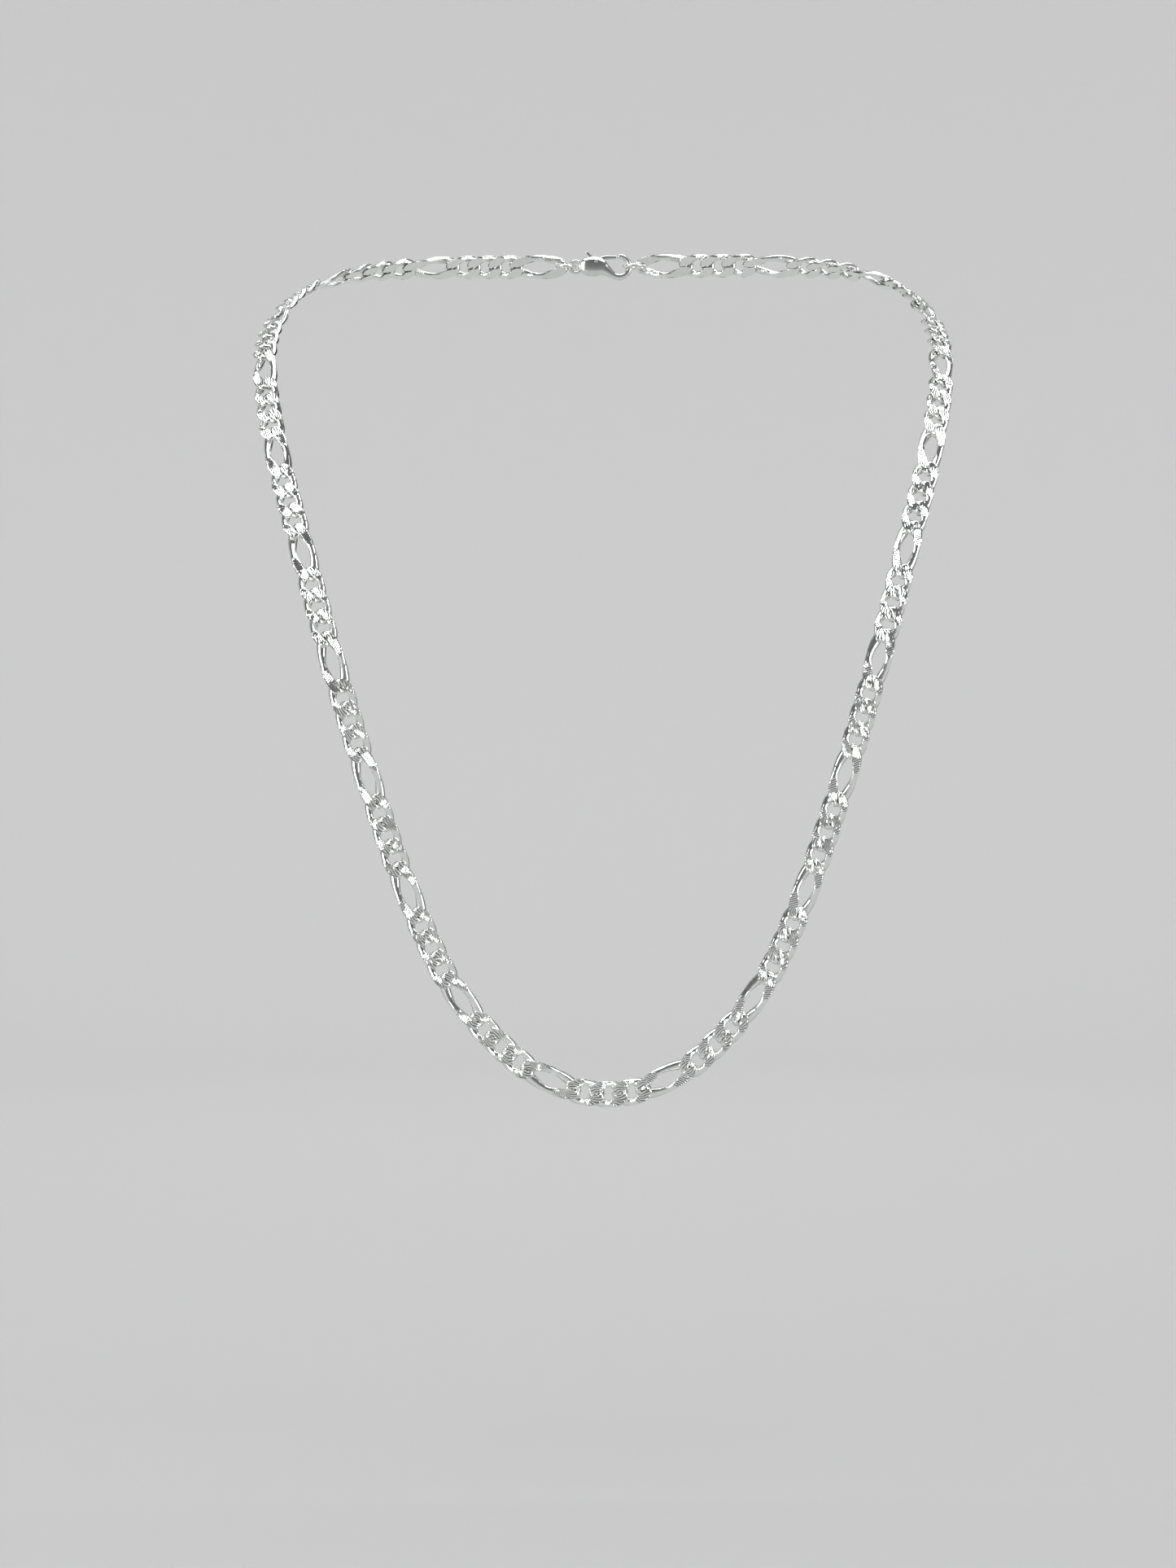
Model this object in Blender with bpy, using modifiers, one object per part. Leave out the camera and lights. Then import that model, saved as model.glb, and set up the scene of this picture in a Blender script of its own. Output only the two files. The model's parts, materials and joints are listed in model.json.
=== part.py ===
"""A flat Figaro chain necklace in polished silver, hanging as it is worn.

The chain repeats three short links and one long one. It lies flat against the chest, climbs over
the shoulders and closes behind the neck with a lobster clasp. Frame: metres, +Z up, -Y to the
front, origin on the clasp's flat back, where it rests on the nape of the neck.
"""
import math

import bmesh
import bpy
from mathutils import Matrix, Vector

MM = 0.001

# Chain
LINK_WIDTH = 5.5 * MM  # across the chain, outside to outside
BAR_WIDTH = 1.45 * MM  # of the flattened wire, seen from the front
BAR_THICKNESS = 0.8 * MM
SHORT_PITCH = 4.92 * MM  # from one joint to the next
LONG_PITCH = 10.3 * MM
LINK_PLAY = 0.5 * MM  # slack between two hooked links
TWIST_RISE = 0.74 * MM  # how far each bar rises or dips to pass over its neighbour
TWIST_SHARPNESS = 0.7  # below 1, the bar is raised along more of the link
SIDE_FULLNESS = 2.3  # 2 is an ellipse, more is squarer
SHORT_POINTS = 12
LONG_POINTS = 14
REPEATS = 11  # of long link and short trio, on each side of the trio at the bottom
SOLDER_BEAD = Vector((1.5, 1.1, 0.5)) * MM

# Half of the chain's line from the bottom of the loop to the nape: sideways, back and up, in
# millimetres, then which way the chain's face looks there
HALF_LINE = (
    ((0.0, 0.0, 0.0), (0.0, -1.0, 0.0)),
    ((7.3, 0.0, 0.9), (0.0, -1.0, 0.0)),
    ((16.7, 0.0, 5.3), (0.0, -1.0, 0.0)),
    ((27.4, 0.0, 15.6), (0.0, -1.0, 0.0)),
    ((34.0, 0.0, 25.4), (0.0, -1.0, 0.0)),
    ((41.6, 0.0, 42.8), (0.0, -1.0, 0.0)),
    ((49.6, 0.0, 66.4), (0.0, -1.0, 0.0)),
    ((56.7, 0.0, 90.3), (0.0, -1.0, 0.0)),
    ((63.2, 6.7, 113.4), (0.1, -0.95, 0.3)),
    ((69.5, 17.1, 135.3), (0.2, -0.85, 0.5)),
    ((73.4, 32.3, 155.0), (0.35, -0.65, 0.7)),
    ((72.6, 50.0, 167.4), (0.45, -0.34, 0.84)),
    ((67.4, 65.4, 176.2), (0.46, -0.06, 0.87)),
    ((56.6, 75.6, 181.5), (0.42, 0.27, 0.85)),
    ((40.0, 81.3, 183.8), (0.25, 0.7, 0.66)),
    ((20.5, 83.8, 184.3), (0.09, 0.92, 0.38)),
    ((0.0, 84.5, 184.3), (0.0, 0.99, 0.1)),
)
LINE_STEPS = 48  # samples between two of its points

# Clasp, in its own frame: +X to the nose, +Y to the lever's side, +Z to the wearer's neck
CLASP_THICKNESS = 2.8 * MM
CLASP_GAP = 0.3 * MM
RING_REACH = 0.5 * MM  # how far past the chain's end joint a ring's wire starts
JUMP_RING = {"outer": 5.0 * MM, "wire": 0.8 * MM}
END_RING = {"outer": 6.0 * MM, "wire": 0.8 * MM}
EYE_RADIUS = 1.8 * MM
EYE_BAR = 0.9 * MM
EYE_THICKNESS = 1.5 * MM
BLOCK_SIZE = Vector((6.0, 4.8, 2.8)) * MM
HOOK_BAR = 1.5 * MM
HOOK_RADIUS = 2.4 * MM
HOOK_START, HOOK_END = math.radians(-115), math.radians(95)
SLOT_WIDTH = 1.4 * MM
LEVER_THICKNESS = 1.0 * MM
PIN_RADIUS = 0.35 * MM
PIN_CLEARANCE = 0.12 * MM
SPRING_RADIUS = 0.42 * MM
SPRING_WIRE = 0.2 * MM
SPRING_TURNS = 3

SILVER = (0.93, 0.93, 0.92)
STEEL = (0.55, 0.55, 0.56)


def remove_everything():
    for obj in list(bpy.data.objects):
        bpy.data.objects.remove(obj, do_unlink=True)


def new_collection(name):
    collection = bpy.data.collections.new(name)
    bpy.context.scene.collection.children.link(collection)
    return collection


remove_everything()
NECKLACE = new_collection("chain_necklace")
CUTTERS = new_collection("cutters_and_guides")


def own_collection(obj, collection):
    """Move an object into the right collection; cutters and guides aren't rendered."""
    for other in list(obj.users_collection):
        other.objects.unlink(obj)
    collection.objects.link(obj)
    if collection is CUTTERS:
        obj.hide_render = True
        obj.display_type = "WIRE"


def add_object(name, data, collection):
    obj = bpy.data.objects.new(name, data)
    own_collection(obj, collection)
    return obj


def finish(obj, colour=SILVER, roughness=0.12):
    """Give a piece its own metal."""
    material = bpy.data.materials.new(obj.name)
    material.use_nodes = True
    shader = material.node_tree.nodes["Principled BSDF"]
    shader.inputs["Base Color"].default_value = (*colour, 1.0)
    shader.inputs["Metallic"].default_value = 1.0
    shader.inputs["Roughness"].default_value = roughness
    obj.data.materials.append(material)


def to_mesh(obj, collection):
    """Turn a curve into a mesh object of the same name and place."""
    bpy.context.view_layer.update()
    evaluated = obj.evaluated_get(bpy.context.evaluated_depsgraph_get())
    mesh = bpy.data.meshes.new_from_object(evaluated)
    cleaned = bmesh.new()
    cleaned.from_mesh(mesh)
    bmesh.ops.remove_doubles(cleaned, verts=cleaned.verts, dist=1e-6)
    bmesh.ops.recalc_face_normals(cleaned, faces=cleaned.faces)
    cleaned.to_mesh(mesh)
    cleaned.free()
    name = obj.name
    place = obj.matrix_world.copy()
    bpy.data.objects.remove(obj, do_unlink=True)
    made = add_object(name, mesh, collection)
    made.matrix_world = place
    return made


def boolean(obj, other, operation):
    modifier = obj.modifiers.new(other.name, "BOOLEAN")
    modifier.operation = operation
    modifier.solver = "EXACT"
    modifier.object = other


# The chain's line


def blend_points(a, b, c, d, t):
    """A smooth (Catmull-Rom) curve from b to c."""
    return 0.5 * (
        2 * b + (c - a) * t + (2 * a - 5 * b + 4 * c - d) * t**2 + (3 * b - a - 3 * c + d) * t**3
    )


def chain_line():
    """Sample the whole loop from the bottom round one side to the nape: place and facing."""
    places = [Vector(place) * MM for place, _ in HALF_LINE]
    facings = [Vector(facing).normalized() for _, facing in HALF_LINE]

    def mirrored(vector):
        return Vector((-vector.x, vector.y, vector.z))

    places = [mirrored(places[1]), *places, mirrored(places[-2])]
    facings = [mirrored(facings[1]), *facings, mirrored(facings[-2])]
    nape = places[-2] - Vector((0, CLASP_THICKNESS / 2, 0))
    samples = []
    for i in range(1, len(places) - 2):
        for step in range(LINE_STEPS):
            t = step / LINE_STEPS
            place = blend_points(*places[i - 1 : i + 3], t) - nape
            facing = blend_points(*facings[i - 1 : i + 3], t).normalized()
            samples.append((place, facing))
    samples.append((places[-2] - nape, facings[-2]))
    return samples


def walk(samples, place, start, distance):
    """The next joint: the first point on the line that is a whole pitch from the last joint."""
    for i in range(start, len(samples) - 1):
        far = samples[i + 1][0]
        if (far - place).length >= distance:
            near = samples[i][0]
            low, high = 0.0, 1.0
            for _ in range(30):
                middle = (low + high) / 2
                if (near.lerp(far, middle) - place).length < distance:
                    low = middle
                else:
                    high = middle
            return near.lerp(far, high), samples[i][1].lerp(samples[i + 1][1], high), i
    raise ValueError("the line is too short for the chain")


def half_joints():
    """Joints from the bottom trio outwards, each with its facing, and each link's kind."""
    samples = chain_line()
    kinds = ["short"] + (["long"] + ["short"] * 3) * REPEATS + ["long"]
    first = next(i for i, (place, _) in enumerate(samples) if place.x >= SHORT_PITCH / 2)
    joints = [(samples[first][0], samples[first][1])]
    joints[0][0].x = SHORT_PITCH / 2
    at = first
    for kind in kinds:
        pitch = LONG_PITCH if kind == "long" else SHORT_PITCH
        place, facing, at = walk(samples, joints[-1][0], at, pitch)
        joints.append((place, facing.normalized()))
    return joints, kinds


# Links


def bar_profile():
    """The flattened wire's section, which every link's curve is bevelled with."""
    data = bpy.data.curves.new("bar_profile", "CURVE")
    data.dimensions = "2D"
    spline = data.splines.new("POLY")
    spline.use_cyclic_u = True
    spline.points.add(3)
    corners = ((1, 1), (1, -1), (-1, -1), (-1, 1))
    for point, (x, y) in zip(spline.points, corners):
        point.co = (x * BAR_WIDTH / 2, y * BAR_THICKNESS / 2, 0, 1)
    return add_object("bar_profile", data, CUTTERS)


def signed_power(value, power):
    return math.copysign(abs(value) ** power, value)


def link_curve(name, pitch, count, profile, collection):
    """A closed, flattened loop whose bars rise and dip by turns, so that two of them hook flat."""
    data = bpy.data.curves.new(name, "CURVE")
    data.dimensions = "3D"
    data.twist_mode = "Z_UP"
    data.bevel_mode = "OBJECT"
    data.bevel_object = profile
    spline = data.splines.new("POLY")
    spline.use_cyclic_u = True
    spline.points.add(count - 1)
    half_length = (pitch + BAR_WIDTH + LINK_PLAY) / 2
    half_width = (LINK_WIDTH - BAR_WIDTH) / 2
    for i, point in enumerate(spline.points):
        angle = 2 * math.pi * i / count
        x = half_length * signed_power(math.cos(angle), 2 / SIDE_FULLNESS)
        y = half_width * signed_power(math.sin(angle), 2 / SIDE_FULLNESS)
        z = -TWIST_RISE * signed_power(math.sin(2 * angle), TWIST_SHARPNESS)
        point.co = (x, y, z, 1)
    return add_object(name, data, collection)


def link_frame(start, end, facing):
    """Place a link between two joints, with its face turned outwards."""
    along = (end - start).normalized()
    face = (facing - along * facing.dot(along)).normalized()
    side = face.cross(along)
    turn = Matrix((along, side, face)).transposed().to_4x4()
    return Matrix.Translation((start + end) / 2) @ turn


def place_link(name, kind, start, end, facing, profile, collection):
    pitch, count = (LONG_PITCH, LONG_POINTS) if kind == "long" else (SHORT_PITCH, SHORT_POINTS)
    link = link_curve(name, pitch, count, profile, collection)
    link.matrix_world = link_frame(start, end, facing)
    return link


def solder_bead(name, place, frame):
    """A bead that fuses two hooked links of a trio."""
    bpy.ops.mesh.primitive_cube_add(size=1)
    bead = bpy.context.object
    bead.name = name
    own_collection(bead, CUTTERS)
    size = Matrix.Diagonal((*SOLDER_BEAD, 1))
    bead.matrix_world = Matrix.Translation(place) @ frame.to_3x3().to_4x4() @ size
    return bead


def short_trio(name, joints, profile):
    """Three short links in one node, fused at their two inner joints."""
    links = []
    for i in range(3):
        (start, out_a), (end, out_b) = joints[i], joints[i + 1]
        collection = NECKLACE if i == 0 else CUTTERS
        part = name if i == 0 else f"{name}_part_{i + 1}"
        curve = place_link(part, "short", start, end, out_a + out_b, profile, collection)
        links.append(to_mesh(curve, collection))
    trio = links[0]
    for i in (1, 2):
        bead = solder_bead(f"{name}_bead_{i}", joints[i][0], links[i].matrix_world)
        boolean(trio, bead, "UNION")
        boolean(trio, links[i], "UNION")
    finish(trio)


def long_link(name, joints, profile):
    (start, out_a), (end, out_b) = joints
    finish(place_link(name, "long", start, end, out_a + out_b, profile, NECKLACE))


def make_chain():
    """Hang both halves of the chain and return the last joint on the right."""
    profile = bar_profile()
    outward, kinds = half_joints()
    mirrored = [
        (Vector((-place.x, place.y, place.z)), Vector((-out.x, out.y, out.z)))
        for place, out in outward
    ]
    short_trio(
        "short_trio_center", [mirrored[1], mirrored[0], outward[0], outward[1]], profile
    )
    for side, joints in (("right", outward), ("left", mirrored)):
        at = 1
        for number in range(1, REPEATS + 2):
            run = joints[at : at + 2]
            long_link(f"long_link_{side}_{number}", run if side == "right" else run[::-1], profile)
            at += 1
            if number <= REPEATS:
                run = joints[at : at + 4]
                run = run if side == "right" else run[::-1]
                short_trio(f"short_trio_{side}_{number}", run, profile)
                at += 3
    return outward[-1][0]


# Clasp


def clasp_frame():
    """The clasp lies across the nape, its back on the neck, its nose to the right."""
    along, side, neckward = Vector((1, 0, 0)), Vector((0, 0, 1)), Vector((0, -1, 0))
    turn = Matrix((along, side, neckward)).transposed().to_4x4()
    return Matrix.Translation((0, CLASP_THICKNESS / 2, 0)) @ turn


FRAME = clasp_frame()


def clasp_cylinder(name, x, y, radius, height, sides, collection):
    """A cylinder through the clasp's thickness."""
    bpy.ops.mesh.primitive_cylinder_add(vertices=sides, radius=radius, depth=height)
    obj = bpy.context.object
    obj.name = name
    own_collection(obj, collection)
    obj.matrix_world = FRAME @ Matrix.Translation((x, y, 0))
    return obj


def clasp_box(name, low, high, collection):
    """A box between two corners in the clasp's frame."""
    bpy.ops.mesh.primitive_cube_add(size=1)
    obj = bpy.context.object
    obj.name = name
    own_collection(obj, collection)
    low, high = Vector(low), Vector(high)
    for vertex in obj.data.vertices:
        vertex.co = Vector(c * s for c, s in zip(vertex.co, high - low))
    obj.matrix_world = FRAME @ Matrix.Translation((low + high) / 2)
    return obj


def ring(name, x, sizes, collection):
    """A round ring that stands across the chain's plane."""
    wire = sizes["wire"] / 2
    bpy.ops.mesh.primitive_torus_add(
        major_radius=sizes["outer"] / 2 - wire, minor_radius=wire,
        major_segments=20, minor_segments=6,
    )
    obj = bpy.context.object
    obj.name = name
    own_collection(obj, collection)
    obj.matrix_world = FRAME @ Matrix.Translation((x, 0, 0)) @ Matrix.Rotation(math.pi / 2, 4, "X")
    return obj


def clasp_layout(last_joint):
    """Work out from the chain's end where each piece of the clasp sits along the nape."""
    layout = {}
    start = -last_joint.x - RING_REACH
    layout["jump_ring"] = start - JUMP_RING["wire"] + JUMP_RING["outer"] / 2
    ring_far_inside = start + JUMP_RING["outer"] - 2 * JUMP_RING["wire"]
    eye_start = ring_far_inside - CLASP_GAP - EYE_BAR
    layout["eye"] = eye_start + EYE_RADIUS
    end = last_joint.x + RING_REACH
    layout["end_ring"] = end + END_RING["wire"] - END_RING["outer"] / 2
    end_ring_near_inside = end - END_RING["outer"] + 2 * END_RING["wire"]
    nose = end_ring_near_inside + CLASP_GAP + HOOK_BAR
    layout["hook"] = nose - HOOK_BAR / 2 - HOOK_RADIUS
    return layout


def hook_curve(layout):
    """The claw: a bar that leaves the block low down and curls over to face the lever."""
    data = bpy.data.curves.new("hook", "CURVE")
    data.dimensions = "3D"
    data.twist_mode = "Z_UP"
    data.bevel_mode = "OBJECT"
    data.bevel_object = hook_profile()
    data.use_fill_caps = True
    points = [(layout["hook"] - HOOK_RADIUS * 1.7, -HOOK_RADIUS * 0.62)]
    arcs = 14
    for i in range(arcs + 1):
        angle = HOOK_START + (HOOK_END - HOOK_START) * i / arcs
        x = layout["hook"] + HOOK_RADIUS * math.cos(angle)
        points.append((x, HOOK_RADIUS * math.sin(angle)))
    spline = data.splines.new("POLY")
    spline.points.add(len(points) - 1)
    for point, (x, y) in zip(spline.points, points):
        point.co = (x, y, 0, 1)
    hook = add_object("hook", data, CUTTERS)
    hook.matrix_world = FRAME
    return to_mesh(hook, CUTTERS)


def hook_profile():
    """The claw's section: a bar with its corners taken off."""
    data = bpy.data.curves.new("hook_profile", "CURVE")
    data.dimensions = "2D"
    spline = data.splines.new("POLY")
    spline.use_cyclic_u = True
    half_x, half_y, corner = HOOK_BAR / 2, BLOCK_SIZE.z * 0.42, 0.35 * MM
    points = []
    for sign_x, sign_y, order in ((1, 1, 0), (1, -1, 1), (-1, -1, 0), (-1, 1, 1)):
        pair = [
            (sign_x * (half_x - corner), sign_y * half_y),
            (sign_x * half_x, sign_y * (half_y - corner)),
        ]
        points += pair[::-1] if order else pair
    spline.points.add(len(points) - 1)
    for point, (x, y) in zip(spline.points, points):
        point.co = (x, y, 0, 1)
    return add_object("hook_profile", data, CUTTERS)


def lever_outline(pivot, tip_x):
    """The lever seen from the front: thumb tab, boss round the pin, and gate."""
    tab = pivot + Vector((-2.1, 2.2)) * MM
    knee = pivot + Vector((2.3, 1.0)) * MM
    tip = Vector((tip_x, HOOK_RADIUS - 0.25 * MM))
    stations = ((tab, 0.42), (pivot, 0.95), (knee, 0.52), (tip, 0.45))
    upper, lower = [], []
    for i, (place, half) in enumerate(stations):
        before = stations[max(i - 1, 0)][0]
        after = stations[min(i + 1, len(stations) - 1)][0]
        along = (after - before).normalized()
        across = Vector((-along.y, along.x)) * half * MM
        upper.append(place + across)
        lower.append(place - across)
    return upper + lower[::-1]


def make_lever(layout, pivot):
    data = bpy.data.curves.new("clasp_lever", "CURVE")
    data.dimensions = "2D"
    data.fill_mode = "BOTH"
    data.extrude = LEVER_THICKNESS / 2
    tip_x = layout["hook"] + HOOK_RADIUS * math.cos(HOOK_END) - CLASP_GAP
    outline = lever_outline(pivot, tip_x)
    spline = data.splines.new("POLY")
    spline.use_cyclic_u = True
    spline.points.add(len(outline) - 1)
    for point, place in zip(spline.points, outline):
        point.co = (place.x - pivot.x, place.y - pivot.y, 0, 1)
    lever = add_object("clasp_lever", data, NECKLACE)
    lever.matrix_world = FRAME @ Matrix.Translation((pivot.x, pivot.y, 0))
    lever = to_mesh(lever, NECKLACE)
    hole = clasp_cylinder(
        "lever_hole", pivot.x, pivot.y, PIN_RADIUS + PIN_CLEARANCE, 2 * BLOCK_SIZE.z, 16, CUTTERS
    )
    boolean(lever, hole, "DIFFERENCE")
    finish(lever)


def make_body(layout, block_low, pivot):
    block_high = block_low + BLOCK_SIZE
    body = clasp_box("clasp_body", block_low, block_high, NECKLACE)
    edges = body.modifiers.new("edges", "BEVEL")
    edges.width = 0.6 * MM
    edges.segments = 2
    edges.limit_method = "ANGLE"
    eye = clasp_cylinder("eye", layout["eye"], 0, EYE_RADIUS, EYE_THICKNESS, 20, CUTTERS)
    boolean(body, eye, "UNION")
    boolean(body, hook_curve(layout), "UNION")
    eye_hole = clasp_cylinder(
        "eye_hole", layout["eye"], 0, EYE_RADIUS - EYE_BAR, 2 * BLOCK_SIZE.z, 20, CUTTERS
    )
    boolean(body, eye_hole, "DIFFERENCE")
    slot_low = (block_low.x + 1.2 * MM, -0.9 * MM, -SLOT_WIDTH / 2)
    slot_high = (block_high.x + 1.0 * MM, block_high.y + 1.0 * MM, SLOT_WIDTH / 2)
    boolean(body, clasp_box("lever_slot", slot_low, slot_high, CUTTERS), "DIFFERENCE")
    pin_hole = clasp_cylinder(
        "pin_hole", pivot.x, pivot.y, PIN_RADIUS + PIN_CLEARANCE, 2 * BLOCK_SIZE.z, 16, CUTTERS
    )
    boolean(body, pin_hole, "DIFFERENCE")
    finish(body)


def make_spring(pivot):
    """A coil that pushes the gate shut, standing on the floor of the slot."""
    data = bpy.data.curves.new("lever_spring", "CURVE")
    data.dimensions = "3D"
    data.bevel_depth = SPRING_WIRE / 2
    data.bevel_resolution = 0
    data.use_fill_caps = True
    per_turn = 8
    count = SPRING_TURNS * per_turn
    low, high = -0.6 * MM, 0.95 * MM
    spline = data.splines.new("POLY")
    spline.points.add(count)
    for i, point in enumerate(spline.points):
        angle = 2 * math.pi * i / per_turn
        x = pivot.x + 1.5 * MM + SPRING_RADIUS * math.cos(angle)
        z = SPRING_RADIUS * math.sin(angle)
        point.co = (x, low + (high - low) * i / count, z, 1)
    spring = add_object("lever_spring", data, NECKLACE)
    spring.matrix_world = FRAME
    finish(spring, STEEL, 0.3)


def make_clasp(last_joint):
    layout = clasp_layout(last_joint)
    finish(ring("clasp_jump_ring", layout["jump_ring"], JUMP_RING, NECKLACE))
    finish(ring("end_ring", layout["end_ring"], END_RING, NECKLACE))
    block_start = layout["eye"] + EYE_RADIUS - 0.7 * MM
    block_low = Vector((block_start, -BLOCK_SIZE.y / 2, -BLOCK_SIZE.z / 2))
    pivot = Vector((block_start + 3.6 * MM, 1.1 * MM))
    make_body(layout, block_low, pivot)
    make_lever(layout, pivot)
    pin = clasp_cylinder(
        "lever_pin", pivot.x, pivot.y, PIN_RADIUS, BLOCK_SIZE.z - 0.2 * MM, 16, NECKLACE
    )
    finish(pin, STEEL, 0.3)
    make_spring(pivot)


make_clasp(make_chain())
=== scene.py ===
import json
import math

import bmesh
import bpy
from mathutils import Matrix, Vector


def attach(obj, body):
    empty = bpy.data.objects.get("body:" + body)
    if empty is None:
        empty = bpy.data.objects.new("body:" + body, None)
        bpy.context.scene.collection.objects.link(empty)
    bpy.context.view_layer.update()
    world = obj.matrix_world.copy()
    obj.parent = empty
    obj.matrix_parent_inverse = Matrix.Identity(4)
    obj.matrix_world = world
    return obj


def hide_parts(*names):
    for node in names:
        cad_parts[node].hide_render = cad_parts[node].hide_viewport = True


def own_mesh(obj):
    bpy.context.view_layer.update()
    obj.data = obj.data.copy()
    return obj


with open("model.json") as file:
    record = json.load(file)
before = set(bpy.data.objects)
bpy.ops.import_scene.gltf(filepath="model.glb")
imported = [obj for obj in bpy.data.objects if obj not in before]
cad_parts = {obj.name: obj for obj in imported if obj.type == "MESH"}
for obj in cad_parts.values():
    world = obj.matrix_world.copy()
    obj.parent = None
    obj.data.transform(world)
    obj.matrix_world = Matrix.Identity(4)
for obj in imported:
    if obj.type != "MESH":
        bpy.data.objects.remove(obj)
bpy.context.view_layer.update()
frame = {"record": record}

# ---------------------------------------------------------------------------------------------
# Camera: level, at about two thirds of the way down the chain and 0.7 m in front of it, with a
# portrait lens.
CAMERA_PLACE = (-0.0038, -0.7831, -0.120)
CAMERA_ROLL = math.radians(0.35)
CAMERA_LENS = 77.6

camera_data = bpy.data.cameras.new("camera")
camera_data.lens = CAMERA_LENS
camera_data.clip_start = 0.01
camera = bpy.data.objects.new("camera", camera_data)
camera.location = CAMERA_PLACE
camera.rotation_euler = (math.pi / 2, CAMERA_ROLL, 0)
bpy.context.scene.collection.objects.link(camera)
bpy.context.scene.camera = camera


# ---------------------------------------------------------------------------------------------
# Chain line: the necklace hangs as it is worn. Each half runs from the bottom of the loop, flat
# on the chest, over the shoulder and round to the nape. Every link spans one pitch of that line.
MM = 0.001
LONG_PITCH = 10.3 * MM
SHORT_PITCH = 4.92 * MM
REPEATS = 11
CLASP_THICKNESS = 2.8 * MM
LINE_STEPS = 48
HALVINGS = 30  # to find a joint between two steps of the line
HALF_LINE = (  # sideways, back and up in millimetres, then which way the chain's face looks
    ((0.0, 0.0, 0.0), (0.0, -1.0, 0.0)),
    ((7.3, 0.0, 0.9), (0.0, -1.0, 0.0)),
    ((16.7, 0.0, 5.3), (0.0, -1.0, 0.0)),
    ((27.4, 0.0, 15.6), (0.0, -1.0, 0.0)),
    ((34.0, 0.0, 25.4), (0.0, -1.0, 0.0)),
    ((41.6, 0.0, 42.8), (0.0, -1.0, 0.0)),
    ((49.6, 0.0, 66.4), (0.0, -1.0, 0.0)),
    ((56.7, 0.0, 90.3), (0.0, -1.0, 0.0)),
    ((63.2, 6.7, 113.4), (0.1, -0.95, 0.3)),
    ((69.5, 17.1, 135.3), (0.2, -0.85, 0.5)),
    ((73.4, 32.3, 155.0), (0.35, -0.65, 0.7)),
    ((72.6, 50.0, 167.4), (0.45, -0.34, 0.84)),
    ((67.4, 65.4, 176.2), (0.46, -0.06, 0.87)),
    ((56.6, 75.6, 181.5), (0.42, 0.27, 0.85)),
    ((40.0, 81.3, 183.8), (0.25, 0.7, 0.66)),
    ((20.5, 83.8, 184.3), (0.09, 0.92, 0.38)),
    ((0.0, 84.5, 184.3), (0.0, 0.99, 0.1)),
)


def smooth_step(a, b, c, d, t):
    """A smooth (Catmull-Rom) curve from b to c."""
    return 0.5 * (
        2 * b + (c - a) * t + (2 * a - 5 * b + 4 * c - d) * t**2 + (3 * b - a - 3 * c + d) * t**3
    )


def mirrored(vector):
    return Vector((-vector.x, vector.y, vector.z))


def chain_line():
    """Places and facings along one half of the loop, from the bottom to the nape."""
    places = [Vector(place) * MM for place, _ in HALF_LINE]
    facings = [Vector(facing).normalized() for _, facing in HALF_LINE]
    places = [mirrored(places[1]), *places, mirrored(places[-2])]
    facings = [mirrored(facings[1]), *facings, mirrored(facings[-2])]
    nape = places[-2] - Vector((0, CLASP_THICKNESS / 2, 0))
    line = []
    for i in range(1, len(places) - 2):
        for step in range(LINE_STEPS):
            t = step / LINE_STEPS
            place = smooth_step(*places[i - 1 : i + 3], t) - nape
            line.append((place, smooth_step(*facings[i - 1 : i + 3], t).normalized()))
    line.append((places[-2] - nape, facings[-2]))
    return line


def next_joint(line, place, start, pitch):
    """The first point of the line that is a whole pitch from the last joint."""
    for i in range(start, len(line) - 1):
        near, far = line[i][0], line[i + 1][0]
        if (far - place).length >= pitch:
            low, high = 0.0, 1.0
            for _ in range(HALVINGS):
                middle = (low + high) / 2
                if (near.lerp(far, middle) - place).length < pitch:
                    low = middle
                else:
                    high = middle
            return near.lerp(far, high), line[i][1].lerp(line[i + 1][1], high), i
    raise ValueError("the line is too short for the chain")


def half_joints():
    """Every joint between two links, from the bottom short links outwards, with its facing."""
    line = chain_line()
    pitches = [SHORT_PITCH] + ([LONG_PITCH] + [SHORT_PITCH] * 3) * REPEATS + [LONG_PITCH]
    at = next(i for i, (place, _) in enumerate(line) if place.x >= SHORT_PITCH / 2)
    joints = [(line[at][0].copy(), line[at][1])]
    joints[0][0].x = SHORT_PITCH / 2
    for pitch in pitches:
        place, facing, at = next_joint(line, joints[-1][0], at, pitch)
        joints.append((place, facing.normalized()))
    return joints


RIGHT_JOINTS = half_joints()
LEFT_JOINTS = [(mirrored(place), mirrored(facing)) for place, facing in RIGHT_JOINTS]


# ---------------------------------------------------------------------------------------------
# Link metal: sterling silver. The chain is rolled flat and ground until every raised bar has a
# mirror-flat face, then bright cuts are engraved across those faces near each joint. The rounded
# sides keep the softer shine of tumbling.
SILVER = "#f2f4f2"
# The colour inside the cuts is painted shade, darker than the silver around them.
SHADED_SILVER_IN_A_CUT = "#a2a4a2"
PAINTED_SHADE = "#5e5f60"  # painted shade where one link passes under the next, standing in for its shadow
PAINTED_SHADE_AMOUNT = 0.8
CUT_SPACING = 0.42 * MM  # coarser than a graver cuts, so that the cuts show
CUT_DEPTH = 0.1 * MM
FAN_CENTRE = (-3.4 * MM, 0.1 * MM)  # back to the middle of the fan of cuts on each raised lobe
FAN_CUTS = 31.0  # round a whole turn
LOBE_ENDS = (1.9 * MM, 2.3 * MM)  # from a link's tip; past them the cuts are straight slashes
CUTS_FADE = (5.2 * MM, 4.6 * MM)  # from a link's tip; past them its face is plain
SLASH_TURN = math.radians(38)
WAVES_PER_UNIT = 2 * math.pi / 20  # what a wave texture needs as its scale for a spacing of one
POLISH_DEPTH = 0.05 * MM
SIDE_GLOSS, FACE_GLOSS = 0.17, 0.09


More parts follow.
